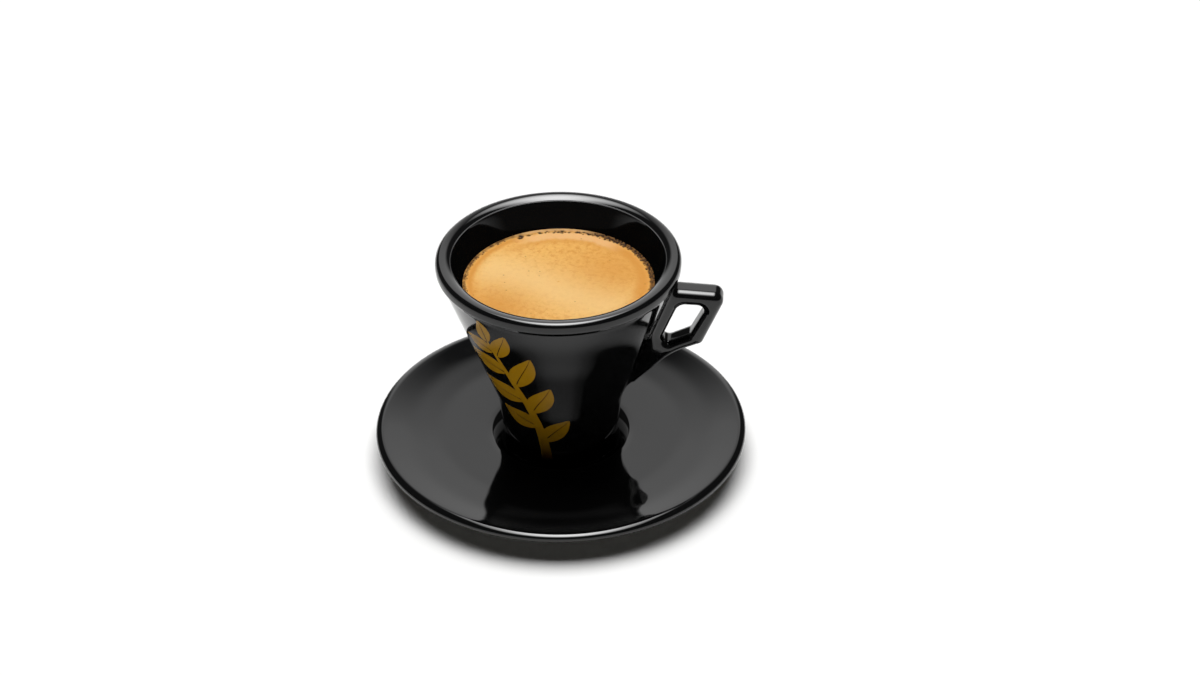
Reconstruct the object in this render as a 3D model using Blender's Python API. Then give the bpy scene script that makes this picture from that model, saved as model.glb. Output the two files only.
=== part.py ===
"""A cup of cafe creme on its saucer.

Three pieces, all turned about the Z axis: a thick walled cup with a flared
cone for a body and an angular handle, the drink that fills it to a little
under the rim, and a wide, nearly flat saucer with a well for the cup's foot.

Metres, +Z up.  The origin is the centre of the saucer's underside, where it
stands, and the handle points along +X.
"""

import math

import bmesh
import bpy

# ---------------------------------------------------------------- dimensions
MM = 0.001

RIM_RADIUS = 45.0 * MM        # the cup's widest circle, just under its lip
RIM_HEIGHT = 86.5 * MM        # height of that circle above the table
LIP_RISE = 1.5 * MM           # top of the lip above the widest circle
LIP_WIDTH = 5.7 * MM          # width of the lip, which drops a little inwards
BAND_DROP = 2.2 * MM          # plain upright band below the widest circle

CONE_TOP_RADIUS = 43.5 * MM   # outer wall where it leaves the band
CONE_TOP_HEIGHT = 82.6 * MM
WAIST_RADIUS = 23.2 * MM      # where the cone turns into the upright foot
WAIST_HEIGHT = 27.9 * MM
FOOT_RADIUS = 21.1 * MM
FOOT_HEIGHT = 7.7 * MM        # the foot's underside
FOOT_RING_WIDTH = 3.0 * MM
FOOT_RECESS = 1.7 * MM        # hollow inside the foot ring

DRINK_RADIUS = 35.1 * MM      # the cup's inside at the level of the drink
DRINK_HEIGHT = 76.7 * MM
INNER_LOW_RADIUS = 18.2 * MM  # the cup's inside just above its floor
FLOOR_HEIGHT = 15.5 * MM
FLOOR_CORNER = 9.0 * MM

HANDLE_WIDTH = 9.6 * MM       # across the bar, along Y
HANDLE_EDGE = 1.3 * MM        # rounding of the bar's long edges

SAUCER_RADIUS = 69.7 * MM
SAUCER_EDGE_BOTTOM = 9.9 * MM
SAUCER_CREST = 12.75 * MM     # top of the saucer, close to its edge
PLATE_OUTER_HEIGHT = 11.0 * MM
PLATE_INNER_HEIGHT = 10.0 * MM
WELL_RADIUS = 21.3 * MM
WELL_RIM_RADIUS = 25.9 * MM
WELL_FLOOR = 7.4 * MM
RING_OUTER_RADIUS = 36.0 * MM
RING_INNER_RADIUS = 31.5 * MM
RING_DEPTH = 3.2 * MM         # the saucer's underside above the table

GAP = 0.3 * MM                # between pieces that touch

TURN_STEPS = 60
ARC_ANGLE = math.radians(34)  # largest turn of an outline at one point


# ------------------------------------------------------------------ outlines
def rounded(corners, closed=False):
    """The outline through corners (x, z, radius), each rounded by an arc."""
    count = len(corners)
    points = []
    for index, (x, z, radius) in enumerate(corners):
        at_end = not closed and index in (0, count - 1)
        if radius == 0 or at_end:
            points.append((x, z))
            continue
        before = corners[index - 1]
        after = corners[(index + 1) % count]
        points.extend(corner_arc(before, (x, z), after, radius))
    return points


def corner_arc(before, corner, after, radius):
    """Points on the arc that rounds one corner of an outline."""
    x, z = corner
    to_before = math.atan2(before[1] - z, before[0] - x)
    to_after = math.atan2(after[1] - z, after[0] - x)
    between = (to_after - to_before + math.pi) % (2 * math.pi) - math.pi
    half = abs(between) / 2
    turn = math.pi - 2 * half
    reach = radius / math.sin(half)
    middle = to_before + between / 2
    centre_x = x + reach * math.cos(middle)
    centre_z = z + reach * math.sin(middle)
    side = math.copysign(1, between)
    start = to_before - side * math.pi / 2
    steps = max(1, math.ceil(turn / ARC_ANGLE))
    arc = []
    for step in range(steps + 1):
        angle = start - side * turn * step / steps
        arc.append((centre_x + radius * math.cos(angle),
                    centre_z + radius * math.sin(angle)))
    return arc


def inner_radius(height):
    """Radius of the cup's straight inner wall at a height."""
    slope = (DRINK_RADIUS - INNER_LOW_RADIUS) / (DRINK_HEIGHT - FLOOR_HEIGHT)
    return INNER_LOW_RADIUS + slope * (height - FLOOR_HEIGHT)


def outer_radius(height):
    """Radius of the cup's straight outer cone at a height."""
    slope = (CONE_TOP_RADIUS - WAIST_RADIUS) / (CONE_TOP_HEIGHT - WAIST_HEIGHT)
    return WAIST_RADIUS + slope * (height - WAIST_HEIGHT)


# -------------------------------------------------------------- solid makers
def material(name, colour, roughness, coat=0.0):
    """A Principled material of one colour."""
    made = bpy.data.materials.new(name)
    made.use_nodes = True
    shader = made.node_tree.nodes["Principled BSDF"]
    shader.inputs["Base Color"].default_value = (*colour, 1.0)
    shader.inputs["Roughness"].default_value = roughness
    shader.inputs["Metallic"].default_value = 0.0
    shader.inputs["Coat Weight"].default_value = coat
    made.diffuse_color = (*colour, 1.0)
    return made


def add_object(name, mesh, surface):
    """Put a mesh in the scene under a name."""
    made = bpy.data.objects.new(name, mesh)
    bpy.context.scene.collection.objects.link(made)
    mesh.materials.append(surface)
    return made


def turned(name, outline, surface):
    """A solid of revolution; its outline runs from axis to axis, outside downwards."""
    mesh = bpy.data.meshes.new(name)
    points = [(x, 0.0, z) for x, z in outline]
    edges = [(index, index + 1) for index in range(len(points) - 1)]
    mesh.from_pydata(points, edges, [])
    made = add_object(name, mesh, surface)
    screw = made.modifiers.new("Turn", "SCREW")
    screw.axis = "Z"
    screw.steps = TURN_STEPS
    screw.render_steps = TURN_STEPS
    screw.use_merge_vertices = True
    screw.merge_threshold = 0.00002
    screw.use_smooth_shade = True
    return made


# -------------------------------------------------------------------- saucer
def saucer_outline():
    """From the well's centre over the plate and lip to the underside's centre."""
    underside = 4.3 * MM
    return rounded([
        (0.0, WELL_FLOOR, 0),
        (WELL_RADIUS, WELL_FLOOR, 0.5 * MM),
        (WELL_RIM_RADIUS, PLATE_INNER_HEIGHT, 0.8 * MM),
        (46.0 * MM, PLATE_INNER_HEIGHT + 0.3 * MM, 60.0 * MM),
        (57.0 * MM, PLATE_OUTER_HEIGHT, 50.0 * MM),
        (SAUCER_RADIUS - 2.4 * MM, SAUCER_CREST, 3.0 * MM),
        (SAUCER_RADIUS, SAUCER_CREST - 0.85 * MM, 1.2 * MM),
        (SAUCER_RADIUS, SAUCER_EDGE_BOTTOM, 1.1 * MM),
        (56.0 * MM, underside + 1.4 * MM, 20.0 * MM),
        (RING_OUTER_RADIUS + 1.0 * MM, underside, 2.0 * MM),
        (RING_OUTER_RADIUS, 0.0, 1.0 * MM),
        (RING_INNER_RADIUS + 0.6 * MM, 0.0, 0.8 * MM),
        (RING_INNER_RADIUS, RING_DEPTH, 1.2 * MM),
        (0.0, RING_DEPTH, 0),
    ])


# ----------------------------------------------------------------------- cup
def cup_outline():
    """From the inside of the floor over the lip and down to the foot's recess."""
    lip_top = RIM_HEIGHT + LIP_RISE
    band_end = RIM_HEIGHT - BAND_DROP
    ring_inner = FOOT_RADIUS - FOOT_RING_WIDTH
    return rounded([
        (0.0, FLOOR_HEIGHT, 0),
        (INNER_LOW_RADIUS, FLOOR_HEIGHT, FLOOR_CORNER),
        (DRINK_RADIUS, DRINK_HEIGHT, 30.0 * MM),
        (RIM_RADIUS - LIP_WIDTH, lip_top - 1.15 * MM, 0.9 * MM),
        (RIM_RADIUS - 4.0 * MM, lip_top, 6.0 * MM),
        (RIM_RADIUS, lip_top, 1.8 * MM),
        (RIM_RADIUS, band_end, 0.9 * MM),
        (CONE_TOP_RADIUS, CONE_TOP_HEIGHT, 1.6 * MM),
        (WAIST_RADIUS, WAIST_HEIGHT, 26.0 * MM),
        (FOOT_RADIUS, FOOT_HEIGHT, 1.0 * MM),
        (ring_inner, FOOT_HEIGHT, 0.6 * MM),
        (ring_inner - 0.8 * MM, FOOT_HEIGHT + FOOT_RECESS, 0.6 * MM),
        (0.0, FOOT_HEIGHT + FOOT_RECESS, 0),
    ])


def handle_sides():
    """The handle's four outer and four inner sides, as matching rows of points.

    Both rings run from the wall along the top bar, down the slanted grip, back
    along the lower bar and up the wall.  The outer ring's wall side lies inside
    the cup's wall.
    """
    sunk = 1.8 * MM
    top = RIM_HEIGHT - 9.8 * MM
    bottom = RIM_HEIGHT - 51.6 * MM
    hole_top = RIM_HEIGHT - 16.1 * MM
    hole_bottom = RIM_HEIGHT - 35.3 * MM
    outer = [
        (outer_radius(top) - sunk, top, 0),
        (62.2 * MM, RIM_HEIGHT - 11.1 * MM, 3.6 * MM),
        (53.0 * MM, RIM_HEIGHT - 32.8 * MM, 2.0 * MM),
        (42.4 * MM, RIM_HEIGHT - 37.3 * MM, 26.0 * MM),
        (outer_radius(bottom) + 2.2 * MM, bottom, 1.4 * MM),
        (outer_radius(bottom) - sunk, bottom, 0),
    ]
    inner = [
        (44.3 * MM, hole_top, 4.0 * MM),
        (54.9 * MM, hole_top - 0.3 * MM, 2.6 * MM),
        (48.4 * MM, RIM_HEIGHT - 29.4 * MM, 1.8 * MM),
        (36.4 * MM, hole_bottom, 2.2 * MM),
    ]
    return rounded(outer, closed=True), rounded(inner, closed=True)


def ray_crossing(outline, centre, angle):
    """Where a ray from the centre crosses a closed outline, farthest out."""
    direction = (math.cos(angle), math.sin(angle))
    best = 0.0
    for index, start in enumerate(outline):
        end = outline[(index + 1) % len(outline)]
        edge = (end[0] - start[0], end[1] - start[1])
        offset = (start[0] - centre[0], start[1] - centre[1])
        cross = direction[0] * edge[1] - direction[1] * edge[0]
        if abs(cross) < 1e-12:
            continue
        distance = (offset[0] * edge[1] - offset[1] * edge[0]) / cross
        along = (offset[0] * direction[1] - offset[1] * direction[0]) / cross
        if -1e-9 <= along <= 1 + 1e-9 and distance > best:
            best = distance
    return (centre[0] + best * direction[0], centre[1] + best * direction[1])


def handle_ring(surface):
    """The handle as one closed bar that runs round its finger gap."""
    outer, inner = handle_sides()
    centre = (45.5 * MM, RIM_HEIGHT - 24.5 * MM)
    angles = sorted(math.atan2(z - centre[1], x - centre[0]) for x, z in outer + inner)
    half = HANDLE_WIDTH / 2
    ring = bmesh.new()
    sections = []
    for angle in angles:
        out_point = ray_crossing(outer, centre, angle)
        in_point = ray_crossing(inner, centre, angle)
        sections.append(bar_section(ring, in_point, out_point, half))
    for index, section in enumerate(sections):
        after = sections[(index + 1) % len(sections)]
        for corner in range(len(section)):
            other = (corner + 1) % len(section)
            ring.faces.new((section[corner], section[other], after[other], after[corner]))
    bmesh.ops.remove_doubles(ring, verts=ring.verts, dist=0.00002)
    bmesh.ops.recalc_face_normals(ring, faces=ring.faces)
    mesh = bpy.data.meshes.new("handle_ring")
    ring.to_mesh(mesh)
    ring.free()
    return add_object("handle_ring", mesh, surface)


def bar_section(ring, in_point, out_point, half):
    """Eight vertices round the bar: a rectangle with cut corners."""
    length = math.dist(in_point, out_point)
    cut = HANDLE_EDGE / length
    along = (out_point[0] - in_point[0], out_point[1] - in_point[1])
    corners = [
        (0.0, half - HANDLE_EDGE), (cut, half), (1.0 - cut, half), (1.0, half - HANDLE_EDGE),
        (1.0, HANDLE_EDGE - half), (1.0 - cut, -half), (cut, -half), (0.0, HANDLE_EDGE - half),
    ]
    section = []
    for share, across in corners:
        x = in_point[0] + share * along[0]
        z = in_point[1] + share * along[1]
        section.append(ring.verts.new((x, across, z)))
    return section


def make_cup(glaze):
    """The turned cup with its handle joined on."""
    cup = turned("cup", cup_outline(), glaze)
    handle = handle_ring(glaze)
    handle.hide_render = True
    handle.display_type = "WIRE"
    join = cup.modifiers.new("Handle", "BOOLEAN")
    join.operation = "UNION"
    join.solver = "EXACT"
    join.object = handle
    return cup


# --------------------------------------------------------------------- drink
def drink_outline():
    """The drink: it fills the cup to its level, with a thin edge up the wall."""
    meniscus = 0.4 * MM
    top_radius = DRINK_RADIUS - GAP
    floor = FLOOR_HEIGHT + GAP
    return rounded([
        (0.0, DRINK_HEIGHT, 0),
        (top_radius - 2.0 * MM, DRINK_HEIGHT, 3.0 * MM),
        (top_radius, DRINK_HEIGHT + meniscus, 0),
        (inner_radius(DRINK_HEIGHT - 2 * MM) - GAP, DRINK_HEIGHT - 2 * MM, 0),
        (INNER_LOW_RADIUS - GAP, floor, FLOOR_CORNER),
        (0.0, floor, 0),
    ])


# --------------------------------------------------------------------- build
def build():
    """Make every piece in an empty scene."""
    for old in list(bpy.data.objects):
        bpy.data.objects.remove(old, do_unlink=True)
    glaze = material("black_glaze", (0.012, 0.012, 0.013), 0.06, coat=0.5)
    crema = material("crema", (0.76, 0.44, 0.15), 0.45)
    turned("saucer", saucer_outline(), glaze)
    make_cup(glaze)
    turned("coffee", drink_outline(), crema)


build()
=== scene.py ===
"""Looks of a cafe creme in its black glazed cup, on its saucer, in a white studio.

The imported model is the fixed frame.  Its three solids are made again here as finer pieces: the turned cup
with its cast handle, the turned saucer and the drink with its crema.  A generic sprig of gold leaves is
printed on the cup's wall.
"""

import math

import bpy
import numpy as np
from mathutils import Matrix, Vector


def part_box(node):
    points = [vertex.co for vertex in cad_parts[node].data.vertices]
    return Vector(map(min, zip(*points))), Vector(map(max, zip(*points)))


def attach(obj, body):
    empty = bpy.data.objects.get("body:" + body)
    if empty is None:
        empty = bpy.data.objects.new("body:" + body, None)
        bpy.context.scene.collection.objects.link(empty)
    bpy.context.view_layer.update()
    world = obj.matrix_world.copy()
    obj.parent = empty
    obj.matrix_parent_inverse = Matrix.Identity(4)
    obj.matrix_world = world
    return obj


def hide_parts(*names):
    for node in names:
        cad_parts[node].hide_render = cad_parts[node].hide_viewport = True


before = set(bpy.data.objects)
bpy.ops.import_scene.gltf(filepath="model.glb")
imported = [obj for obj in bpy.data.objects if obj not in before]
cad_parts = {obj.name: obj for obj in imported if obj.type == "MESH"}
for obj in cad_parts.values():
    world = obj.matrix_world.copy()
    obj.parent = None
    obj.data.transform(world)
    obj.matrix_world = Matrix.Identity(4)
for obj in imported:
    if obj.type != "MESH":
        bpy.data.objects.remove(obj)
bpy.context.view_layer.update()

MM = 0.001                               # the scene's lengths are in metres
TINY = 1e-12                             # keeps a division from zero

# ---------------------------------------------------------------- dimensions
RIM_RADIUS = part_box("cup")[1].y          # the cup's widest circle, just under its lip
LIP_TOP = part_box("cup")[1].z
SAUCER_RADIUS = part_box("saucer")[1].x

RIM_HEIGHT = LIP_TOP - 1.5 * MM          # height of the widest circle
LIP_WIDTH = 5.7 * MM
LIP_SLOPE = (1.7 * MM, 1.15 * MM)        # width and depth of the lip's slope towards the drink
LIP_BAND = 2.2 * MM                      # from the widest circle down to where the wall begins
CONE_TOP = (43.5 * MM, 82.6 * MM)        # outer wall where it leaves the band under the lip
WAIST = (23.2 * MM, 27.9 * MM)           # where the cone turns into the upright foot
FOOT_RADIUS = 21.1 * MM
FOOT_HEIGHT = 7.7 * MM                   # the cup's underside, just over the saucer's well
RECESS_DEPTH = 1.7 * MM                  # under the cup's foot
DRINK_RADIUS = 35.1 * MM                 # the cup's inside at the level of the drink
DRINK_HEIGHT = 76.7 * MM
INNER_LOW = (18.2 * MM, 15.5 * MM)       # the cup's inside just above its floor
FLOOR_CORNER = 9.0 * MM

WELL_RADIUS = 21.3 * MM
WELL_FLOOR = 7.4 * MM
WELL_RIM = (25.9 * MM, 10.0 * MM)
SAUCER_CREST = 12.75 * MM                # the highest circle of the saucer
SAUCER_EDGE = (9.9 * MM, 11.9 * MM)      # the heights between which its edge is upright
SAUCER_RING = (32.1 * MM, 36.0 * MM)     # the radii of the ring that it stands on
SAUCER_HOLLOW = 3.2 * MM                 # height of the hollow inside that ring

TURN_STEPS = 240
ARC_STEP = math.radians(2.0)
OUTLINE_SPACING = 0.2 * MM
OUTLINE_BLUR = 0.35 * MM                 # softens where an arc meets a straight, as glaze does
KERNEL_REACH = 3                         # the blur's reach to each side, in times its width
LONGEST_EDGE = 1.6 * MM                  # of a turned outline
LARGEST_TURN = math.radians(2.5)

HANDLE_HALF_WIDTH = 5.0 * MM
HANDLE_ROUNDING = 3.4 * MM               # how far the soft edges reach into the bar
HANDLE_POWER = 2.3                       # 2 is a circular edge, more is squarer
HANDLE_FILLET = 3.2 * MM                 # blend between the handle and the wall
HANDLE_SUNK = 1.8 * MM                   # how far the outline starts inside the wall
HANDLE_TOP = RIM_HEIGHT - 9.8 * MM       # where the outline enters the wall
HANDLE_BOTTOM = RIM_HEIGHT - 51.6 * MM
HANDLE_STEP = 0.5 * MM                   # mesh size of the handle
HANDLE_LOW = (20.0 * MM, -10.5 * MM, 29.0 * MM)      # the box in which its surface is looked for
HANDLE_HIGH = (65.0 * MM, 10.5 * MM, 83.0 * MM)
GLAZE_LIFT = 0.012 * MM                  # the handle's skirt over the wall
SKIRT_DEPTH = 1.2 * MM                   # how far the skirt reaches into the wall
SKIRT_MARGIN = 0.6 * MM                  # and how far it goes on past the fillet

# The camera, in a frame centred on the rim whose -Y side faces it.
VIEW_TURN = math.radians(4.0)            # the handle points this far towards the camera
VIEW_ELEVATION = math.radians(34.85)
VIEW_ROLL = math.radians(-0.4284)
VIEW_LENS = 100.0
VIEW_SENSOR = 36.0
RIM_RIGHT = -15.22 * MM                  # the rim's centre as the camera sees it
RIM_UP = 28.52 * MM
RIM_DEPTH = 1215.9 * MM


# ------------------------------------------------------------------ outlines
def rounded(corners):
    """The outline through corners (x, z, radius), rounded by an arc where the radius isn't 0."""
    points = []
    for index, (x, z, radius) in enumerate(corners):
        if radius == 0:
            points.append((x, z))
        else:
            points.extend(corner_arc(corners[index - 1], (x, z), corners[index + 1], radius))
    return points


def corner_arc(before, corner, after, radius):
    """Points on the arc that rounds one corner of an outline."""
    x, z = corner
    to_before = math.atan2(before[1] - z, before[0] - x)
    to_after = math.atan2(after[1] - z, after[0] - x)
    between = (to_after - to_before + math.pi) % (2 * math.pi) - math.pi
    half = abs(between) / 2
    turn = math.pi - 2 * half
    reach = radius / math.sin(half)
    middle = to_before + between / 2
    centre = (x + reach * math.cos(middle), z + reach * math.sin(middle))
    side = math.copysign(1, between)
    start = to_before - side * math.pi / 2
    steps = max(1, math.ceil(turn / ARC_STEP))
    angles = [start - side * turn * step / steps for step in range(steps + 1)]
    return [(centre[0] + radius * math.cos(a), centre[1] + radius * math.sin(a)) for a in angles]


def softened(points):
    """The outline at even spacing, blurred along its length so that its curvature changes gently."""
    points = np.array(points)
    along = np.r_[0, np.cumsum(np.linalg.norm(np.diff(points, axis=0), axis=1))]
    places = np.linspace(0, along[-1], int(round(along[-1] / OUTLINE_SPACING)) + 1)
    even = np.stack([np.interp(places, along, points[:, k]) for k in (0, 1)], 1)
    reach = int(KERNEL_REACH * OUTLINE_BLUR / OUTLINE_SPACING)
    kernel = np.exp(-0.5 * (np.arange(-reach, reach + 1) * OUTLINE_SPACING / OUTLINE_BLUR) ** 2)
    kernel /= kernel.sum()
    head = 2 * even[0] - even[reach:0:-1]
    tail = 2 * even[-1] - even[-2:-reach - 2:-1]
    padded = np.concatenate([head, even, tail])
    return np.stack([np.convolve(padded[:, k], kernel, "valid") for k in (0, 1)], 1)


def thinned(points):
    """Fewer points where the outline is straight, all of them where it bends."""
    kept = [0]
    turned_by = 0.0
    travelled = 0.0
    for index in range(1, len(points) - 1):
        before = points[index] - points[index - 1]
        after = points[index + 1] - points[index]
        bend = math.atan2(before[0] * after[1] - before[1] * after[0], before @ after)
        turned_by += abs(bend)
        travelled += np.linalg.norm(before)
        if turned_by >= LARGEST_TURN or travelled >= LONGEST_EDGE:
            kept.append(index)
            turned_by = 0.0
            travelled = 0.0
    kept.append(len(points) - 1)
    return points[kept]


def cup_corners():
    """Corners and their radii, from the inside of the floor over the lip to the recess under the foot."""
    lip_inside = RIM_RADIUS - LIP_WIDTH
    recess = FOOT_HEIGHT + RECESS_DEPTH
    return [
        (0.0, INNER_LOW[1], 0),
        (*INNER_LOW, FLOOR_CORNER),
        (DRINK_RADIUS, DRINK_HEIGHT, 30.0 * MM),
        (lip_inside, LIP_TOP - LIP_SLOPE[1], 0.9 * MM),
        (lip_inside + LIP_SLOPE[0], LIP_TOP, 8.0 * MM),
        (RIM_RADIUS, LIP_TOP, 1.8 * MM),
        (RIM_RADIUS, RIM_HEIGHT - LIP_BAND, 0.9 * MM),
        (*CONE_TOP, 1.6 * MM),
        (*WAIST, 26.0 * MM),
        (FOOT_RADIUS, FOOT_HEIGHT, 1.0 * MM),
        (FOOT_RADIUS - 3.0 * MM, FOOT_HEIGHT, 0.6 * MM),
        (FOOT_RADIUS - 3.8 * MM, recess, 0.6 * MM),
        (0.0, recess, 0),
    ]


def saucer_corners():
    """Corners and their radii, from the well's centre over the plate to the underside's centre."""
    return [
        (0.0, WELL_FLOOR, 0),
        (WELL_RADIUS, WELL_FLOOR, 0.5 * MM),
        (*WELL_RIM, 0.8 * MM),
        (46.0 * MM, 10.3 * MM, 60.0 * MM),
        (57.0 * MM, 11.0 * MM, 50.0 * MM),
        (SAUCER_RADIUS - 2.4 * MM, SAUCER_CREST, 3.0 * MM),
        (SAUCER_RADIUS, SAUCER_EDGE[1], 1.2 * MM),
        (SAUCER_RADIUS, SAUCER_EDGE[0], 1.1 * MM),
        (56.0 * MM, 5.7 * MM, 20.0 * MM),
        (37.0 * MM, 4.3 * MM, 2.0 * MM),
        (SAUCER_RING[1], 0.0, 1.0 * MM),
        (SAUCER_RING[0], 0.0, 0.8 * MM),
        (31.5 * MM, SAUCER_HOLLOW, 1.2 * MM),
        (0.0, SAUCER_HOLLOW, 0),
    ]


def outer_radius(height):
    """Radius of the cup's straight outer cone at a height."""
    slope = (CONE_TOP[0] - WAIST[0]) / (CONE_TOP[1] - WAIST[1])
    return WAIST[0] + slope * (height - WAIST[1])


CONE_ANGLE = math.atan((CONE_TOP[0] - WAIST[0]) / (CONE_TOP[1] - WAIST[1]))


# -------------------------------------------------------------- mesh helpers
def add_piece(name, points, faces, surface, normals=None):
    """A smooth shaded mesh object; faces is a list of arrays, one for each number of corners."""
    mesh = bpy.data.meshes.new(name)
    mesh.vertices.add(len(points))
    mesh.vertices.foreach_set("co", np.asarray(points, np.float32).reshape(-1))
    corners = np.concatenate([np.asarray(group).reshape(-1) for group in faces])
    sizes = np.concatenate([np.full(len(group), len(group[0])) for group in faces])
    mesh.loops.add(len(corners))
    mesh.loops.foreach_set("vertex_index", corners.astype(np.int32))
    mesh.polygons.add(len(sizes))
    mesh.polygons.foreach_set("loop_start", np.r_[0, np.cumsum(sizes)[:-1]].astype(np.int32))
    mesh.update(calc_edges=True)
    mesh.shade_smooth()
    if normals is not None:
        mesh.normals_split_custom_set_from_vertices([tuple(n) for n in normals])
    made = bpy.data.objects.new(name, mesh)
    bpy.context.scene.collection.objects.link(made)
    mesh.materials.append(surface)
    return made


def turned_mesh(outline, steps):
    """Points and faces of a closed solid of revolution; the outline starts and ends on the axis."""
    angles = 2 * math.pi * np.arange(steps) / steps
    ring_radii = outline[1:-1, 0]
    ring_heights = outline[1:-1, 1]
    x = ring_radii[:, None] * np.cos(angles)
    y = ring_radii[:, None] * np.sin(angles)
    z = np.repeat(ring_heights[:, None], steps, 1)
    rings = np.stack([x, y, z], -1).reshape(-1, 3)
    points = np.vstack([rings, (0, 0, outline[0, 1]), (0, 0, outline[-1, 1])])
    return points, ring_faces(len(ring_radii), steps)


def ring_faces(ring_count, steps):
    """Faces between rings of points, and to a pole point at each end; the poles follow the rings."""
    here = np.arange(steps)
    after = (here + 1) % steps
    low = steps * np.arange(ring_count - 1)[:, None]
    quads = np.stack([low + here, low + steps + here, low + steps + after, low + after], -1)
    last = (ring_count - 1) * steps
    pole = np.full(steps, ring_count * steps)
    first_cap = np.stack([pole, here, after], 1)
    last_cap = np.stack([pole + 1, last + after, last + here], 1)
    return [quads.reshape(-1, 4), np.vstack([first_cap, last_cap])]


# -------------------------------------------------------------------- handle
def handle_sides():
    """The handle's outer outline, which runs into the wall, and the outline of its finger gap."""
    outer = [
        (outer_radius(HANDLE_TOP) - HANDLE_SUNK, HANDLE_TOP, 0),
        (62.2 * MM, RIM_HEIGHT - 11.1 * MM, 3.6 * MM),
        (53.0 * MM, RIM_HEIGHT - 32.8 * MM, 2.0 * MM),
        (42.4 * MM, RIM_HEIGHT - 37.3 * MM, 26.0 * MM),
        (outer_radius(HANDLE_BOTTOM) + 2.2 * MM, HANDLE_BOTTOM, 1.4 * MM),
        (outer_radius(HANDLE_BOTTOM) - HANDLE_SUNK, HANDLE_BOTTOM, 0),
    ]
    gap = [
        (44.3 * MM, RIM_HEIGHT - 16.1 * MM, 4.0 * MM),
        (54.9 * MM, RIM_HEIGHT - 16.4 * MM, 2.6 * MM),
        (48.4 * MM, RIM_HEIGHT - 29.4 * MM, 1.8 * MM),
        (36.4 * MM, RIM_HEIGHT - 35.3 * MM, 2.2 * MM),
    ]
    return SoftOutline(outer), SoftOutline(gap)


class SoftOutline:
    """A closed outline of straight sides and rounded corners, with its exact distance."""

    def __init__(self, corners):
        self.corners = np.array([(x, z) for x, z, _ in corners])
        after = np.roll(self.corners, -1, 0)
        area = (self.corners[:, 0] * after[:, 1] - self.corners[:, 1] * after[:, 0]).sum()
        self.arcs = []
        self.sides = []
        starts = []
        ends = []
        for index, (x, z, radius) in enumerate(corners):
            here = np.array((x, z))
            to_before = self.corners[index - 1] - here
            to_after = self.corners[(index + 1) % len(corners)] - here
            to_before /= np.linalg.norm(to_before)
            to_after /= np.linalg.norm(to_after)
            half = math.acos(np.clip(to_before @ to_after, -1, 1)) / 2
            inward = (to_before + to_after) / np.linalg.norm(to_before + to_after)
            reach = radius / math.sin(half)
            turn = to_after[0] * to_before[1] - to_after[1] * to_before[0]
            convex = turn * area > 0
            if radius:
                centre = here + reach * inward
                self.arcs.append((centre, radius, -inward, math.sin(half), reach, convex))
            ends.append(here + reach * math.cos(half) * to_before)
            starts.append(here + reach * math.cos(half) * to_after)
        for index, start in enumerate(starts):
            self.sides.append((start, ends[(index + 1) % len(ends)]))

    def distance(self, places):
        """Distance of places (n, 2) from the outline, positive inside it."""
        inside = np.zeros(len(places), bool)
        for start, end in zip(self.corners, np.roll(self.corners, -1, 0)):
            spans = (start[1] > places[:, 1]) != (end[1] > places[:, 1])
            rise = end[1] - start[1] or TINY
            crossing = start[0] + (places[:, 1] - start[1]) * (end[0] - start[0]) / rise
            inside ^= spans & (places[:, 0] < crossing)
        best = np.full(len(places), np.inf)
        for start, end in self.sides:
            edge = end - start
            offset = places - start
            share = np.clip(offset @ edge / (edge @ edge), 0, 1)
            best = np.minimum(best, np.linalg.norm(offset - share[:, None] * edge, axis=1))
        for centre, radius, outward, cosine, reach, convex in self.arcs:
            offset = places - centre
            length = np.linalg.norm(offset, axis=1)
            facing = offset @ outward >= cosine * length
            best = np.where(facing, np.minimum(best, np.abs(length - radius)), best)
            corner = facing & (length > radius) & (length < reach)
            inside = inside & ~corner if convex else inside | corner
        return np.where(inside, best, -best)


def handle_distance(points, sides):
    """Distance outside the bare handle: a plate with soft edges, thick in Y, with its gap cut out."""
    outer, gap = sides
    places = points[:, [0, 2]]
    reach = HANDLE_ROUNDING
    flank = np.maximum(0, np.abs(points[:, 1]) - (HANDLE_HALF_WIDTH - reach)) / reach
    rim = np.maximum(0, 1 - outer.distance(places) / reach)
    hole = np.maximum(0, 1 + gap.distance(places) / reach)
    total = flank ** HANDLE_POWER + rim ** HANDLE_POWER + hole ** HANDLE_POWER
    return reach * (total ** (1 / HANDLE_POWER) - 1)


def wall_distance(points):
    """Distance outside the cup's cone."""
    radius = np.hypot(points[:, 0], points[:, 1])
    return (radius - outer_radius(points[:, 2])) * math.cos(CONE_ANGLE) - GLAZE_LIFT


def blended(bar, wall):
    """Distance outside the handle and the wall together, with a fillet where they meet."""
    near = np.maximum(0, HANDLE_FILLET - np.abs(bar - wall)) / HANDLE_FILLET
    return np.minimum(bar, wall) - near ** 2 * HANDLE_FILLET / 4


def handle_field(points, sides):
    """The blended shape, cut off under the wall's surface and a little beyond the fillet."""
    bar = handle_distance(points, sides)
    wall = wall_distance(points)
    skirt = bar - HANDLE_FILLET - SKIRT_MARGIN
    return np.maximum(np.maximum(blended(bar, wall), skirt), -wall - SKIRT_DEPTH)


NUDGE = 0.02 * MM
LEAST_STEEPNESS = 0.05


def slope_of(field, points):
    """Gradient of a field by central differences."""
    parts = []
    for axis in range(3):
        shift = np.zeros(3)
        shift[axis] = NUDGE
        parts.append((field(points + shift) - field(points - shift)) / (2 * NUDGE))
    return np.stack(parts, 1)


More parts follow.
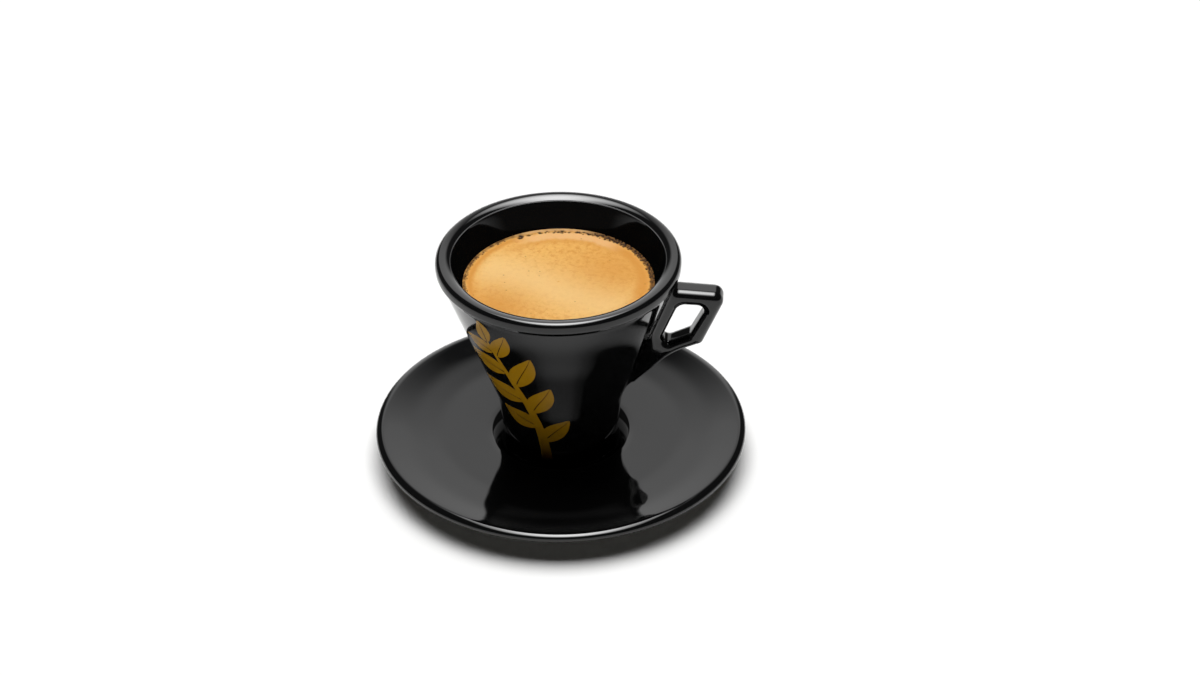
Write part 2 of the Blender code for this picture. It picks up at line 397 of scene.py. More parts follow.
def onto_surface(field, points, rounds):
    """Points pulled onto the field's zero surface."""
    for _ in range(rounds):
        slope = slope_of(field, points)
        steepness = np.maximum((slope ** 2).sum(1), LEAST_STEEPNESS)
        pull = (field(points) / steepness)[:, None] * slope
        length = np.linalg.norm(pull, axis=1, keepdims=True)
        points = points - pull * np.minimum(1, HANDLE_STEP / np.maximum(length, TINY))
    return points


def surface_net(field, low, high, step):
    """Quads round the zero surface of a field, with a vertex in each cell that it crosses."""
    axes = [np.arange(low[k], high[k] + step, step) for k in range(3)]
    grid = np.stack(np.meshgrid(*axes, indexing="ij"), -1)
    inside = field(grid.reshape(-1, 3)).reshape(grid.shape[:3]) < 0
    cells = [size - 1 for size in inside.shape]
    total = np.zeros(cells, int)
    for i in (0, 1):
        for j in (0, 1):
            for k in (0, 1):
                total += inside[i:cells[0] + i, j:cells[1] + j, k:cells[2] + k]
    crossed = (total > 0) & (total < 8)
    number = np.full(cells, -1)
    number[crossed] = np.arange(crossed.sum())
    points = np.array(low) + (np.argwhere(crossed) + 0.5) * step
    quads = []
    for axis in range(3):
        across, upward = [k for k in range(3) if k != axis]
        low_end = np.take(inside, range(cells[axis]), axis)
        high_end = np.take(inside, range(1, cells[axis] + 1), axis)
        for leaving in (True, False):
            edges = np.argwhere((low_end == leaving) & (high_end != leaving))
            one = np.eye(3, dtype=int)
            ring = [edges, edges - one[across], edges - one[across] - one[upward], edges - one[upward]]
            quad = np.stack([number[tuple(cell.T)] for cell in ring], 1)
            flip = leaving == (axis == 1)
            quads.append(quad[:, ::-1] if flip else quad)
    return points, np.vstack(quads)


def relaxed(field, points, quads, rounds):
    """Points evened out along the surface."""
    starts = quads.reshape(-1)
    ends = np.roll(quads, -1, 1).reshape(-1)
    for _ in range(rounds):
        total = np.zeros_like(points)
        count = np.zeros(len(points))
        for here, there in ((starts, ends), (ends, starts)):
            np.add.at(total, here, points[there])
            np.add.at(count, here, 1)
        points = 0.5 * points + 0.5 * total / count[:, None]
        points = onto_surface(field, points, rounds=2)
    return points


def make_handle(glaze):
    """The cast handle: it flows into the wall, and its skirt lies on the cone."""
    sides = handle_sides()

    def shape(points):
        return handle_field(points, sides)

    points, quads = surface_net(shape, HANDLE_LOW, HANDLE_HIGH, HANDLE_STEP)
    points = onto_surface(shape, points, rounds=4)
    points = relaxed(shape, points, quads, rounds=4)
    normals = slope_of(lambda p: blended(handle_distance(p, sides), wall_distance(p)), points)
    normals /= np.linalg.norm(normals, axis=1, keepdims=True)
    return add_piece("cup_handle", points, [quads], glaze, normals)


# ----------------------------------------------------------------- materials
class Shader:
    """A Principled material and short ways to add nodes to it."""

    def __init__(self, name, roughness, ior=1.5):
        self.material = bpy.data.materials.new(name)
        self.material.use_nodes = True
        self.tree = self.material.node_tree
        self.surface = self.tree.nodes["Principled BSDF"]
        self.surface.inputs["Roughness"].default_value = roughness
        self.surface.inputs["IOR"].default_value = ior
        self.place = self.add("ShaderNodeTexCoord").outputs["Object"]

    def add(self, kind):
        return self.tree.nodes.new(kind)

    def link(self, source, target):
        self.tree.links.new(source, target)

    def noise(self, scale, detail=2.0, roughness=0.5):
        node = self.add("ShaderNodeTexNoise")
        node.inputs["Scale"].default_value = scale
        node.inputs["Detail"].default_value = detail
        node.inputs["Roughness"].default_value = roughness
        self.link(self.place, node.inputs["Vector"])
        return node.outputs["Fac"]

    def voronoi(self, scale):
        """The distance to the nearest of many scattered places."""
        node = self.add("ShaderNodeTexVoronoi")
        node.inputs["Scale"].default_value = scale
        self.link(self.place, node.inputs["Vector"])
        return node.outputs["Distance"]

    def spread(self, source, before, after):
        """A value mapped from one range to another."""
        node = self.add("ShaderNodeMapRange")
        for key, value in zip(("From Min", "From Max", "To Min", "To Max"), (*before, *after)):
            node.inputs[key].default_value = value
        self.link(source, node.inputs["Value"])
        return node.outputs["Result"]

    def mix(self, share, first, second):
        """A colour between two colours, each a socket or three numbers."""
        node = self.add("ShaderNodeMix")
        node.data_type = "RGBA"
        self.link(share, node.inputs["Factor"])
        sockets = [s for s in node.inputs if s.type == "RGBA"]
        for socket, colour in zip(sockets, (first, second)):
            if isinstance(colour, tuple):
                socket.default_value = (*colour, 1.0)
            else:
                self.link(colour, socket)
        return [s for s in node.outputs if s.type == "RGBA"][0]

    def attribute(self, name):
        node = self.add("ShaderNodeAttribute")
        node.attribute_name = name
        return node.outputs["Fac"]

    def bump(self, height, depth, before=None):
        """A bump of a real depth, on top of an earlier one."""
        node = self.add("ShaderNodeBump")
        node.inputs["Strength"].default_value = 1.0
        node.inputs["Distance"].default_value = depth
        self.link(height, node.inputs["Height"])
        if before is not None:
            self.link(before, node.inputs["Normal"])
        return node.outputs["Normal"]


GLAZE_BLACK = (0.0022, 0.0023, 0.0025)
GLAZE_GREY = (0.0042, 0.0043, 0.0044)
GLAZE_WAVE = dict(scale=75.0, detail=1.0)
WAVE_DEPTH = 0.010 * MM
DIMPLE_DEPTH = 0.0006 * MM
GOLD_DARK = (0.33, 0.165, 0.004)
GOLD_LIGHT = (0.41, 0.215, 0.008)
CREMA = (0.69, 0.355, 0.080)
CREMA_CLOUD = (0.73, 0.395, 0.100)
CREMA_GRAIN = (0.78, 0.43, 0.115)
# pale foam at the back edge, and the painted sheen of the key light across the crema
PALE_AND_SHEEN = (0.80, 0.53, 0.215)
ORANGE = (0.60, 0.262, 0.045)
FOAM = (0.75, 0.43, 0.18)
BROWN = (0.14, 0.060, 0.010)
PIT = (0.012, 0.004, 0.002)
CELL_DEPTH = 0.03 * MM                   # relief of the crema's finest bubbles
WHITE = (0.86, 0.86, 0.86)
BRIGHT_WHITE = (0.88, 0.88, 0.88)


def glaze_material():
    """Black glaze: deep gloss, with the faint waves and dimples of fired glass."""
    shader = Shader("black_glaze", roughness=0.04)
    colour = shader.mix(shader.noise(scale=90.0, detail=3.0), GLAZE_BLACK, GLAZE_GREY)
    shader.link(colour, shader.surface.inputs["Base Color"])
    rough = shader.spread(shader.noise(scale=260.0, detail=4.0), before=(0.3, 0.7), after=(0.03, 0.06))
    shader.link(rough, shader.surface.inputs["Roughness"])
    waves = shader.bump(shader.noise(**GLAZE_WAVE), WAVE_DEPTH)
    dimples = shader.bump(shader.noise(scale=520.0, detail=1.0), DIMPLE_DEPTH, waves)
    shader.link(dimples, shader.surface.inputs["Normal"])
    return shader.material


def gold_material():
    """Ochre gold print under the glaze."""
    shader = Shader("gold_print", roughness=0.12)
    colour = shader.mix(shader.noise(scale=900.0, detail=3.0, roughness=0.6), GOLD_DARK, GOLD_LIGHT)
    shader.link(colour, shader.surface.inputs["Base Color"])
    rough = shader.spread(shader.noise(scale=600.0, detail=3.0), before=(0.3, 0.7), after=(0.10, 0.18))
    shader.link(rough, shader.surface.inputs["Roughness"])
    waves = shader.bump(shader.noise(**GLAZE_WAVE), WAVE_DEPTH)
    shader.link(waves, shader.surface.inputs["Normal"])
    return shader.material


def crema_material():
    """Fine foam: its zones, a painted sheen among them, are painted on the mesh; its grain is procedural.
    """
    shader = Shader("crema", roughness=0.55, ior=1.4)
    shader.surface.inputs["Specular IOR Level"].default_value = 0.15
    clouds = shader.noise(scale=42.0, detail=4.0, roughness=0.55)
    grains = shader.noise(scale=650.0, detail=4.0, roughness=0.75)
    mottles = shader.noise(scale=480.0, detail=5.0, roughness=0.8)
    cloud = shader.spread(clouds, before=(0.38, 0.62), after=(0.0, 1.0))
    grain = shader.spread(grains, before=(0.42, 0.60), after=(0.0, 0.80))
    mottle = shader.spread(mottles, before=(0.48, 0.63), after=(0.0, 0.90))
    speck = shader.spread(shader.voronoi(scale=230.0), before=(0.04, 0.09), after=(0.5, 0.0))
    colour = shader.mix(cloud, CREMA, CREMA_CLOUD)
    colour = shader.mix(grain, colour, CREMA_GRAIN)
    colour = shader.mix(mottle, colour, ORANGE)
    # painted sheen: the pale colour also lightens a band across the crema where the key light's sheen falls
    colour = shader.mix(shader.attribute("pale_foam_and_sheen"), colour, PALE_AND_SHEEN)
    colour = shader.mix(shader.attribute("orange"), colour, ORANGE)
    colour = shader.mix(shader.attribute("foam"), colour, FOAM)
    colour = shader.mix(speck, colour, BROWN)
    colour = shader.mix(shader.attribute("brown"), colour, BROWN)
    colour = shader.mix(shader.attribute("pit"), colour, PIT)
    shader.link(colour, shader.surface.inputs["Base Color"])
    shader.surface.inputs["Subsurface Weight"].default_value = 0.15
    shader.surface.inputs["Subsurface Radius"].default_value = (1.0, 0.5, 0.2)
    shader.surface.inputs["Subsurface Scale"].default_value = 0.8 * MM
    fine = shader.bump(shader.voronoi(scale=1800.0), CELL_DEPTH)
    shader.link(fine, shader.surface.inputs["Normal"])
    return shader.material


def floor_material():
    """White tabletop."""
    shader = Shader("tabletop", roughness=0.6)
    colour = shader.mix(shader.noise(scale=8.0), WHITE, BRIGHT_WHITE)
    shader.link(colour, shader.surface.inputs["Base Color"])
    shader.surface.inputs["Specular IOR Level"].default_value = 0.0
    return shader.material


# --------------------------------------------------------------------- drink
def wave(angle, seed, orders):
    """A smooth wobble round the circle, between about -1 and 1."""
    random = np.random.default_rng(seed)
    total = np.zeros_like(angle)
    for order in orders:
        total += random.uniform(0.5, 1.0) * np.sin(order * angle + random.uniform(0, 2 * math.pi))
    return total / math.sqrt(len(orders))


def window(angle, centre, half_width, fade):
    """1 within an arc of the circle, falling to 0 over fade; the arc is given in degrees, as seen."""
    away = np.abs(turned_away(angle, seen_angle(centre)))
    half_width = math.radians(half_width)
    fade = math.radians(fade)
    share = np.clip((half_width + fade - away) / fade, 0, 1)
    return share * share * (3 - 2 * share)


def plateau(value, low, high, fade):
    """1 between two values, falling to 0 over fade on both sides."""
    outside = np.maximum(low - value, value - high) / fade
    share = np.clip(1 - outside, 0, 1)
    return share * share * (3 - 2 * share)


def bell(value, centre, width):
    return np.exp(-0.5 * ((value - centre) / width) ** 2)


def seen_place(radius, angle):
    """How far right of the rim's centre and how far behind it a place looks in the photograph, in mm."""
    return radius * np.cos(angle - VIEW_TURN) / MM, radius * np.sin(angle - VIEW_TURN) / MM


def seen_angle(degrees):
    """An angle round the cup, counted from its back as the photograph shows it, positive to the right."""
    return math.pi / 2 + VIEW_TURN - math.radians(degrees)


def turned_away(angle, centre):
    """Difference of two angles round the cup, at most half a turn either way."""
    return (angle - centre + math.pi) % (2 * math.pi) - math.pi


DRINK_STEPS = 900
INTO_WALL = 0.25 * MM                    # how far the crema's edge reaches into the wall
SKIN_GAP = 0.3 * MM                      # between the drink's body and the wall
EDGE_RINGS = 48                          # close rings along the edge, for the bubbles
EDGE_SPACING = 0.14 * MM
MIDDLE_RINGS = 40
BODY_RINGS = 14
BODY_TOP = (0.1 * MM, 0.4 * MM)          # how far inside and below the edge the body starts
BODY_START = 0.03                        # share of the depth at which its next ring is
EDGE_CLIMB = 0.2                         # how far the crema climbs at the wall, in mm
CLIMB_WIDTH = 0.7
SWELL = 0.05
SWELL_REACH = 0.9                        # share of the radius over which the swell grows from the edge
FOAM_RISE = 0.08
SHEEN_ANGLE = math.radians(30)          # the painted sheen, a paler band on the crema, runs down to the right at this angle
SHEEN_PLACE = 4.5                       # how far in front of the centre it passes, in mm
SHEEN_WIDTH = 9.0


def crema_zones(radius, angle, level_radius):
    """How strongly each place shows each of the crema's colours, a painted sheen among them; its numbers
    are in mm and degrees.
    """
    from_edge = (level_radius - radius) / MM
    back = window(angle, centre=8, half_width=24, fade=20)
    ragged = window(angle, centre=66, half_width=36, fade=22)
    front = window(angle, centre=180, half_width=75, fade=30)
    wobble = 0.16 * wave(angle, seed=5, orders=(23, 37, 52, 71, 95))
    wobble += 0.12 * wave(angle, seed=6, orders=(5, 8, 13))
    band = from_edge + wobble
    stretched = from_edge / (1 + 0.9 * back + 0.5 * ragged) + 0.7 * wobble

    foam = np.maximum(
        0.85 * back * plateau(from_edge + 2 * wobble, low=3.2, high=5.4, fade=2.2),
        0.8 * back * plateau(from_edge, low=0.0, high=0.9, fade=0.5))

    dark_ring = (1 - 0.8 * back) * plateau(stretched, low=-0.6, high=0.6, fade=0.9)
    patches = np.clip(0.85 + 0.35 * wave(angle, seed=9, orders=(11, 17, 31, 47, 66, 88)), 0, 1)
    ragged_edge = 0.95 * ragged * plateau(band, low=-0.5, high=1.2, fade=0.9)
    brown = np.maximum(dark_ring * patches, ragged_edge)

    sideways, behind = seen_place(radius, angle)
    glow_right = 0.6 * bell(sideways, centre=22, width=13) * bell(behind, centre=9, width=13)
    glow_front = 0.85 * bell(sideways, centre=-24, width=10) * bell(behind, centre=-17, width=10)
    second_ring = window(angle, centre=12, half_width=30, fade=45) * bell(band, centre=7.4, width=1.5)
    orange = np.maximum.reduce([
        0.95 * (1 - 0.75 * back) * bell(stretched, centre=2.6, width=1.0),
        0.6 * second_ring,
        0.9 * ragged * bell(from_edge, centre=4.5, width=2.4),
        0.6 * front * bell(from_edge, centre=3.0, width=3.5),
        np.maximum(glow_right, glow_front) * np.clip((from_edge - 1.5) / 2.0, 0, 1),
    ])

    # Painted sheen: a paler band across the crema where the key light's sheen falls.
    across = sideways * math.sin(SHEEN_ANGLE) + behind * math.cos(SHEEN_ANGLE) + SHEEN_PLACE
    painted_sheen = 0.75 * bell(across, centre=0, width=SHEEN_WIDTH) * np.clip((from_edge - 2.0) / 5.0, 0, 1)
    pale_foam_and_sheen = np.maximum(0.6 * back * bell(from_edge, centre=0.1, width=0.4), painted_sheen)
    return {"pale_foam_and_sheen": pale_foam_and_sheen, "foam": foam, "orange": orange, "brown": brown}


def crema_height(radius, angle, level_radius, foam, hollow):
    """The crema's relief: it climbs a little at the wall, swells at the foam and dips at the bubbles."""
    from_edge = (level_radius - radius) / MM
    lift = EDGE_CLIMB * np.exp(-np.clip(from_edge, 0, None) / CLIMB_WIDTH)
    inwards = np.clip(from_edge / (level_radius * SWELL_REACH / MM), 0, 1)
    swell = SWELL * wave(angle, seed=12, orders=(2, 3, 5)) * inwards * radius / level_radius
    return DRINK_HEIGHT + (lift + swell + FOAM_RISE * foam - hollow) * MM


def make_drink(cup_outline):
    """The drink down to the cup's floor, with its crema worked as relief and painted zones."""
    inner = cup_outline[:int(np.argmax(cup_outline[:, 1]))]
    level_radius = float(np.interp(DRINK_HEIGHT, inner[:, 1], inner[:, 0]))
    edge_radius = level_radius + INTO_WALL
    fine = edge_radius - np.arange(0, EDGE_RINGS) * EDGE_SPACING
    coarse = np.linspace(fine[-1], 0, MIDDLE_RINGS)[1:-1]
    radii = np.r_[coarse[::-1], fine[::-1]]
    angles = 2 * math.pi * np.arange(DRINK_STEPS) / DRINK_STEPS
    radius, angle = np.meshgrid(radii, angles, indexing="ij")

    zones = crema_zones(radius, angle, level_radius)
    zones["pit"], hollow = pits(radius, angle, level_radius)
    height = crema_height(radius, angle, level_radius, zones["foam"], hollow)
    top = np.stack([radius * np.cos(angle), radius * np.sin(angle), height], -1).reshape(-1, 3)

    body = [(edge_radius - BODY_TOP[0], DRINK_HEIGHT - BODY_TOP[1])]
    for share in np.linspace(BODY_START, 1.0, BODY_RINGS):
        z = DRINK_HEIGHT - share * (DRINK_HEIGHT - INNER_LOW[1] - SKIN_GAP)
        body.append((float(np.interp(z, inner[:, 1], inner[:, 0])) - SKIN_GAP, z))
    rings = []
    for ring_radius, z in body:
        ring = [ring_radius * np.cos(angles), ring_radius * np.sin(angles), np.full(DRINK_STEPS, z)]
        rings.append(np.stack(ring, 1))
    points = np.vstack([top, *rings, (0, 0, float(height[0].mean())), (0, 0, body[-1][1])])
    faces = ring_faces(len(radii) + len(body), DRINK_STEPS)
    made = add_piece("crema", points, faces, crema_material())
    unpainted = np.zeros(len(points) - len(top))
    for name, field in zones.items():
        values = np.r_[np.clip(field, 0, 1).reshape(-1), unpainted]
        layer = made.data.attributes.new(name, "FLOAT", "POINT")
        layer.data.foreach_set("value", values.astype(np.float32))
    return made


LARGE_PITS = ((-26, 2.2, 0.95, 1.0), (-20, 2.0, 0.6, 1.0), (-12, 1.8, 0.6, 1.0))
LENGTHENED = (1.0, 1.8)                  # how much longer round the cup a bubble is than inwards
PIT_SEED = 21
PIT_FLAT = 1.25                          # more leaves a wider floor in a bubble
PIT_DEPTH = 0.7                          # in times its size


def pit_zone(random, count, degrees, inward, size, strength):
    """Bubbles at random within ranges of angle as seen, distance from the edge and size, both in mm."""
    return [(random.uniform(*degrees), random.uniform(*inward), random.uniform(*size), strength)
            for _ in range(count)]


def pits(radius, angle, level_radius):
    """Open bubbles along the edge: how dark and, in mm, how deep each place is."""
    random = np.random.default_rng(PIT_SEED)
    places = pit_zone(random, 62, degrees=(-26, 40), inward=(1.1, 2.5), size=(0.25, 0.6), strength=1.0)
    places += LARGE_PITS
    places += pit_zone(random, 135, degrees=(22, 90), inward=(0.0, 2.0), size=(0.22, 0.5), strength=1.0)
    places += pit_zone(random, 60, degrees=(80, 125), inward=(0.5, 1.7), size=(0.18, 0.4), strength=0.85)
    places += pit_zone(random, 90, degrees=(-150, -35), inward=(0.4, 1.5), size=(0.14, 0.32), strength=0.85)
    dark = np.zeros_like(radius)
    deep = np.zeros_like(radius)
    for degrees, inward, size, strength in places:
        length = random.uniform(*LENGTHENED)
        sideways = turned_away(angle, seen_angle(degrees)) * level_radius / MM / length
        inwards = (level_radius - radius) / MM - inward
        spot = np.clip(PIT_FLAT - np.hypot(sideways, inwards) / size, 0, 1)
        spot = spot * spot * (3 - 2 * spot)
        dark = np.maximum(dark, strength * spot)
        deep = np.maximum(deep, PIT_DEPTH * size * spot)
    return dark, deep


# --------------------------------------------------------------------- print
PRINT_LIFT = 0.03 * MM
PRINT_DEPTH = 0.15 * MM                  # how far the print's closed sheet reaches into the wall
PRINT_BOTTOM = FOOT_HEIGHT + 1.5 * MM
PRINT_TOP = CONE_TOP[1] - 0.5 * MM

# The sprig, in mm across and up on the unrolled wall.
STEM = ((-5, 11), (-7, 34), (-19, 52), (-28, 71))    # a curve's control points
STEM_GRID = (70, 4)                      # places along the stem and across it
STEM_TAPER = 1.7                         # added to half the tip's width at the stem's foot
STEM_TIP = 0.35                          # half the tip's width
LEAF_GRID = (28, 6)
LEAF_SPAN = (0.05, 0.985)                # the part of a leaf's length that is drawn
LEAF_BEND = 0.10
LEAF_EDGE = 0.12
VEIN = 0.45                              # bare line between the halves of a leaf
VEIN_TAPER = 0.7
LEAVES = (                               # place on the stem from 0 to 1, angle from it, length, width
    (0.13, 46, 15, 7.5), (0.24, -50, 17, 8.5), (0.36, 38, 18, 9.0),
    (0.47, -50, 21, 10.0), (0.60, 38, 20, 9.5), (0.72, -48, 20, 9.5),
    (0.86, 36, 15, 8.0), (0.90, -46, 15, 7.5), (0.99, 0, 12, 6.5),
)


def stem_place(share):
    """A place on the stem and the stem's direction there, as complex numbers."""
    a, b, c, d = (complex(*point) for point in STEM)
    back = 1 - share
    place = back ** 3 * a + 3 * back ** 2 * share * b + 3 * back * share ** 2 * c + share ** 3 * d
    slope = back ** 2 * (b - a) + 2 * back * share * (c - b) + share ** 2 * (d - c)
    return place, slope / np.abs(slope)


def stem_patch():
    """A ribbon that tapers towards its tip, as a grid of complex numbers."""
    share = np.linspace(0, 1, STEM_GRID[0])
    place, along = stem_place(share)
    half = STEM_TAPER * (1 - share) ** 0.8 + STEM_TIP
    sides = np.linspace(-1, 1, STEM_GRID[1])
    return place[:, None] - 1j * along[:, None] * half[:, None] * sides


def leaf_patches(share, turn, length, width):
    """Two halves of a pointed leaf with a bare vein between them."""
    place, along = stem_place(share)
    heading = along * np.exp(-1j * math.radians(turn))
    steps = np.linspace(*LEAF_SPAN, LEAF_GRID[0])
    blend = np.linspace(0, 1, LEAF_GRID[1])
    bend = math.copysign(LEAF_BEND, turn)
    middle = length * steps - 1j * bend * length * np.sin(math.pi * steps / 2) ** 2
    half = width / 2 * np.sin(math.pi * steps ** 0.85) ** 0.9 + LEAF_EDGE
    vein = VEIN / 2 * (1 - VEIN_TAPER * steps)
    patches = []
    for side in (-1, 1):
        offset = vein[:, None] + (half - vein)[:, None] * blend
        patches.append(place + heading * (middle[:, None] + 1j * side * offset))
    return patches


def make_print(cup_outline):
    """The gold sprig: closed thin sheets that follow the wall."""
    outer = cup_outline[int(np.argmax(cup_outline[:, 1])):]
    outer = outer[(outer[:, 1] < PRINT_TOP) & (outer[:, 1] > PRINT_BOTTOM)][::-1]
    slope = np.gradient(outer[:, 0], outer[:, 1])
    patches = [stem_patch()]
    for entry in LEAVES:
        patches.extend(leaf_patches(*entry))
    points = []
    normals = []
    faces = []
    count = 0
    for patch in patches:
        edges = np.diff(patch, axis=0)[:, :-1] * np.conj(np.diff(patch, axis=1)[:-1])
        if edges.imag.sum() > 0:
            patch = patch[:, ::-1]
        height = patch.imag.reshape(-1) * MM
        radius = np.interp(height, outer[:, 1], outer[:, 0])
        tilt = np.interp(height, outer[:, 1], slope)
        angle = VIEW_TURN - math.pi / 2 + patch.real.reshape(-1) * MM / radius
        normal = np.stack([np.cos(angle), np.sin(angle), -tilt], 1)
        normal /= np.linalg.norm(normal, axis=1, keepdims=True)
        on_wall = np.stack([radius * np.cos(angle), radius * np.sin(angle), height], 1)
        points += [on_wall + PRINT_LIFT * normal, on_wall - PRINT_DEPTH * normal]
        normals += [normal, normal]
        faces.append(sheet_faces(*patch.shape) + count)
        count += 2 * patch.size
    gold = gold_material()
    return add_piece("gold_print", np.vstack(points), [np.vstack(faces)], gold, np.vstack(normals))


def sheet_faces(rows, columns):
    """Faces of a closed sheet: a grid of points, the same grid below it, and the border between."""
    grid = np.arange(rows * columns).reshape(rows, columns)
    upper = np.stack([grid[:-1, :-1], grid[1:, :-1], grid[1:, 1:], grid[:-1, 1:]], -1).reshape(-1, 4)
    border = np.concatenate([grid[0], grid[1:, -1], grid[-1, -2::-1], grid[-2:0:-1, 0]])
    after = np.roll(border, -1)
    below = rows * columns
    sides = np.stack([border, after, after + below, border + below], 1)
    return np.vstack([upper, upper[:, ::-1] + below, sides])


# ---------------------------------------------------------------- assembly
def softbox(name, target_height, elevation, distance, size, strength):
    """An area light behind and above the cup, aimed at a height on its axis; size is across and along."""
    elevation = math.radians(elevation)
    azimuth = seen_angle(0)
    away = Vector((math.cos(azimuth) * math.cos(elevation), math.sin(azimuth) * math.cos(elevation),
                   math.sin(elevation)))
    light = bpy.data.lights.new(name, "AREA")
    light.shape = "RECTANGLE"
    light.size, light.size_y = size
    light.energy = strength * math.pi * size[0] * size[1]
    made = bpy.data.objects.new(name, light)
    bpy.context.scene.collection.objects.link(made)
    made.location = Vector((0, 0, target_height)) + distance * away
    made.rotation_euler = away.to_track_quat("Z", "Y").to_euler()
    return made


def fade_edges(light_object):
    """Make a softbox brightest in its middle, falling to nothing at its edges as (1 - x²)(1 - y²)."""
    light = light_object.data
    light.use_nodes = True
    tree = light.node_tree
    place = tree.nodes.new("ShaderNodeNewGeometry").outputs["Parametric"]
    centred, squared, left = (tree.nodes.new("ShaderNodeVectorMath") for _ in range(3))
    centred.operation = "MULTIPLY_ADD"
    centred.inputs[1].default_value = (2, 2, 2)
    centred.inputs[2].default_value = (-1, -1, -1)
    squared.operation = "MULTIPLY"
    left.operation = "SUBTRACT"
    left.inputs[0].default_value = (1, 1, 1)
    tree.links.new(place, centred.inputs[0])
    tree.links.new(centred.outputs[0], squared.inputs[0])
    tree.links.new(centred.outputs[0], squared.inputs[1])
    tree.links.new(squared.outputs[0], left.inputs[1])
    split = tree.nodes.new("ShaderNodeSeparateXYZ")
    tree.links.new(left.outputs[0], split.inputs[0])
    product = tree.nodes.new("ShaderNodeMath")
    product.operation = "MULTIPLY"
    product.use_clamp = True
    tree.links.new(split.outputs["X"], product.inputs[0])
    tree.links.new(split.outputs["Y"], product.inputs[1])
    tree.links.new(product.outputs[0], tree.nodes["Emission"].inputs["Strength"])


def make_camera():
    """The camera at the photographed viewing angle."""
    turn = Matrix.Rotation(VIEW_TURN, 3, "Z")
    ahead = Vector((0, math.cos(VIEW_ELEVATION), -math.sin(VIEW_ELEVATION)))
    right = Vector((1, 0, 0))
    above = right.cross(ahead)
    rolled_right = math.cos(VIEW_ROLL) * right + math.sin(VIEW_ROLL) * above
    rolled_up = -math.sin(VIEW_ROLL) * right + math.cos(VIEW_ROLL) * above
    place = -(RIM_RIGHT * rolled_right + RIM_UP * rolled_up + RIM_DEPTH * ahead)
    columns = [turn @ v for v in (rolled_right, rolled_up, -ahead)]
    rotation = Matrix(columns).transposed().to_4x4()
    data = bpy.data.cameras.new("camera")
    data.lens = VIEW_LENS
    data.sensor_width = VIEW_SENSOR
    data.clip_start = 10 * MM
    camera = bpy.data.objects.new("camera", data)
    bpy.context.scene.collection.objects.link(camera)
    camera.matrix_world = Matrix.Translation(turn @ place + Vector((0, 0, RIM_HEIGHT))) @ rotation
    bpy.context.scene.camera = camera


SKY_TOP = 2.5                            # scale of the surroundings' brightness
PANEL_EDGE = 14                          # degrees the panel behind the cup reaches to each side
PANEL_FADE = 9
BACK_SKY = (                             # elevation in degrees and brightness
    (-90, 1.2), (-2, 1.6), (0, 1.7), (12, 1.3), (24, 1.2), (35, 1.2), (38, 0.95), (43, 0.5),
    (48, 0.06), (90, 0.04),
)
FRONT_SKY = ((-90, 1.2), (-2, 1.3), (0, 1.0), (4, 0.4), (7, 0.05), (90, 0.04))


def sky_ramp(tree, height, stops):
    """A brightness for each elevation; height is the socket with the direction's Z, from -1 to 1."""
    ramp = tree.nodes.new("ShaderNodeValToRGB")
    elements = ramp.color_ramp.elements
    while len(elements) > 1:
        elements.remove(elements[-1])
    for index, (elevation, brightness) in enumerate(stops):
        place = 0.5 + 0.5 * math.sin(math.radians(elevation))
        element = elements[0] if index == 0 else elements.new(place)
        element.position = place
        element.color = (brightness / SKY_TOP, brightness / SKY_TOP, brightness / SKY_TOP, 1)
    half = tree.nodes.new("ShaderNodeMapRange")
    half.inputs["From Min"].default_value = -1.0
    tree.links.new(height, half.inputs["Value"])
    tree.links.new(half.outputs["Result"], ramp.inputs["Fac"])
    return ramp.outputs["Color"]


def behind_cup(tree, direction):
    """1 for directions behind the cup as the photograph shows it, 0 for the rest."""
    level = tree.nodes.new("ShaderNodeVectorMath")
    level.operation = "MULTIPLY"
    level.inputs[1].default_value = (1, 1, 0)
    tree.links.new(direction, level.inputs[0])
    heading = tree.nodes.new("ShaderNodeVectorMath")
    heading.operation = "NORMALIZE"
    tree.links.new(level.outputs["Vector"], heading.inputs[0])
    towards = tree.nodes.new("ShaderNodeVectorMath")
    towards.operation = "DOT_PRODUCT"
    towards.inputs[1].default_value = (-math.sin(VIEW_TURN), math.cos(VIEW_TURN), 0)
    tree.links.new(heading.outputs["Vector"], towards.inputs[0])
    behind = tree.nodes.new("ShaderNodeMapRange")
    behind.interpolation_type = "SMOOTHSTEP"
    behind.inputs["From Min"].default_value = math.cos(math.radians(PANEL_EDGE + PANEL_FADE))
    behind.inputs["From Max"].default_value = math.cos(math.radians(PANEL_EDGE))
    tree.links.new(towards.outputs["Value"], behind.inputs["Value"])
    return behind.outputs["Result"]


def make_world():
    """White low surroundings that reach higher behind the cup, dark above; they light nothing matt."""
    world = bpy.data.worlds.new("studio")
    bpy.context.scene.world = world
    world.use_nodes = True
    world.cycles_visibility.diffuse = False
    tree = world.node_tree
    direction = tree.nodes.new("ShaderNodeTexCoord").outputs["Generated"]
    split = tree.nodes.new("ShaderNodeSeparateXYZ")
    tree.links.new(direction, split.inputs[0])
    blend = tree.nodes.new("ShaderNodeMix")
    blend.data_type = "RGBA"
    tree.links.new(behind_cup(tree, direction), blend.inputs["Factor"])
    colours = [s for s in blend.inputs if s.type == "RGBA"]
    for colour, stops in zip(colours, (FRONT_SKY, BACK_SKY)):
        tree.links.new(sky_ramp(tree, split.outputs["Z"], stops), colour)
    result = [s for s in blend.outputs if s.type == "RGBA"][0]
    background = tree.nodes["Background"]
    tree.links.new(result, background.inputs["Color"])
    background.inputs["Strength"].default_value = SKY_TOP


FLOOR_REACH = 4.0                        # its radius
FLOOR_STEPS = 96


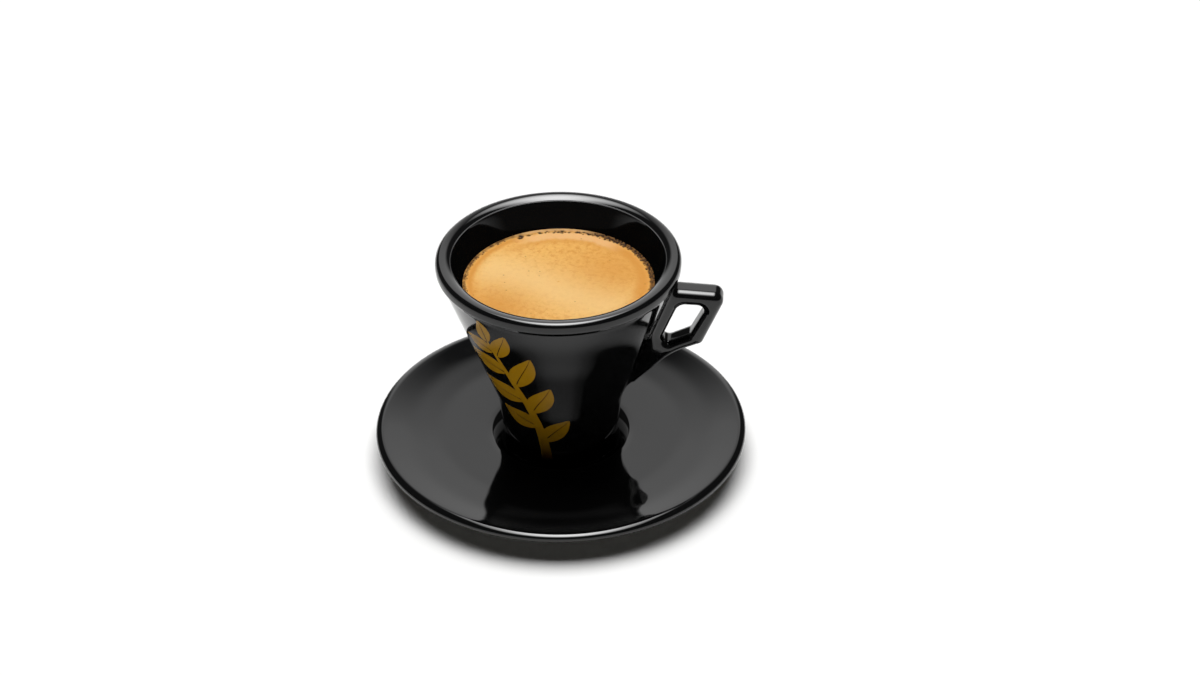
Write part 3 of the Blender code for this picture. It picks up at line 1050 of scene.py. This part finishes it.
def make_floor():
    """A wide white tabletop."""
    angles = 2 * math.pi * np.arange(FLOOR_STEPS) / FLOOR_STEPS
    points = np.stack([np.cos(angles), np.sin(angles), np.zeros(FLOOR_STEPS)], 1) * FLOOR_REACH
    floor = add_piece("tabletop", points, [[list(range(FLOOR_STEPS))]], floor_material())
    return floor


def link_light(light, receivers, blockers=None):
    """Keep a light to some objects, and its shadows to others."""
    chosen = bpy.data.collections.new(light.name + "_lights")
    for item in receivers:
        chosen.objects.link(item)
    light.light_linking.receiver_collection = chosen
    if blockers is not None:
        casting = bpy.data.collections.new(light.name + "_shadows")
        for item in blockers:
            casting.objects.link(item)
        light.light_linking.blocker_collection = casting


WARM = (1.0, 0.97, 0.86)


def light_scene(floor, pieces, saucer):
    """Softboxes for the pieces, and table lights for the floor with the saucer's shadow."""
    key = softbox("key_box", RIM_HEIGHT, elevation=76, distance=1.1, size=(0.75, 1.20), strength=13.2)
    gleam = softbox("gleam_box", RIM_HEIGHT, elevation=84, distance=1.09, size=(0.50, 1.50), strength=5.0)
    gleam.visible_diffuse = False
    for box in (key, gleam):
        fade_edges(box)
        link_light(box, pieces)
    above = softbox("table_light", 0, elevation=80, distance=8.0, size=(7.4, 7.4), strength=5.4)
    fill = softbox("table_fill", 0, elevation=85, distance=8.0, size=(4.0, 4.0), strength=0.9)
    fill.data.color = WARM
    fill.data.use_shadow = False
    link_light(above, [floor], [saucer])
    link_light(fill, [floor])


def build():
    """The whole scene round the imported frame."""
    bpy.context.scene.view_settings.view_transform = "Standard"
    make_camera()
    make_world()
    floor = make_floor()
    glaze = glaze_material()
    cup_outline = thinned(softened(rounded(cup_corners())))
    cup = add_piece("cup_body", *turned_mesh(cup_outline, TURN_STEPS), glaze)
    saucer_outline = thinned(softened(rounded(saucer_corners())))
    saucer = add_piece("saucer_plate", *turned_mesh(saucer_outline, TURN_STEPS), glaze)
    handle = make_handle(glaze)
    drink = make_drink(cup_outline)
    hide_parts("cup")
    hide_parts("saucer")
    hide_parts("coffee")
    printed = make_print(cup_outline)
    pieces = [cup, saucer, handle, drink, printed]
    for piece in pieces:
        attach(piece, "root")
    drink.visible_glossy = False
    printed.visible_glossy = False
    light_scene(floor, pieces, saucer)


build()
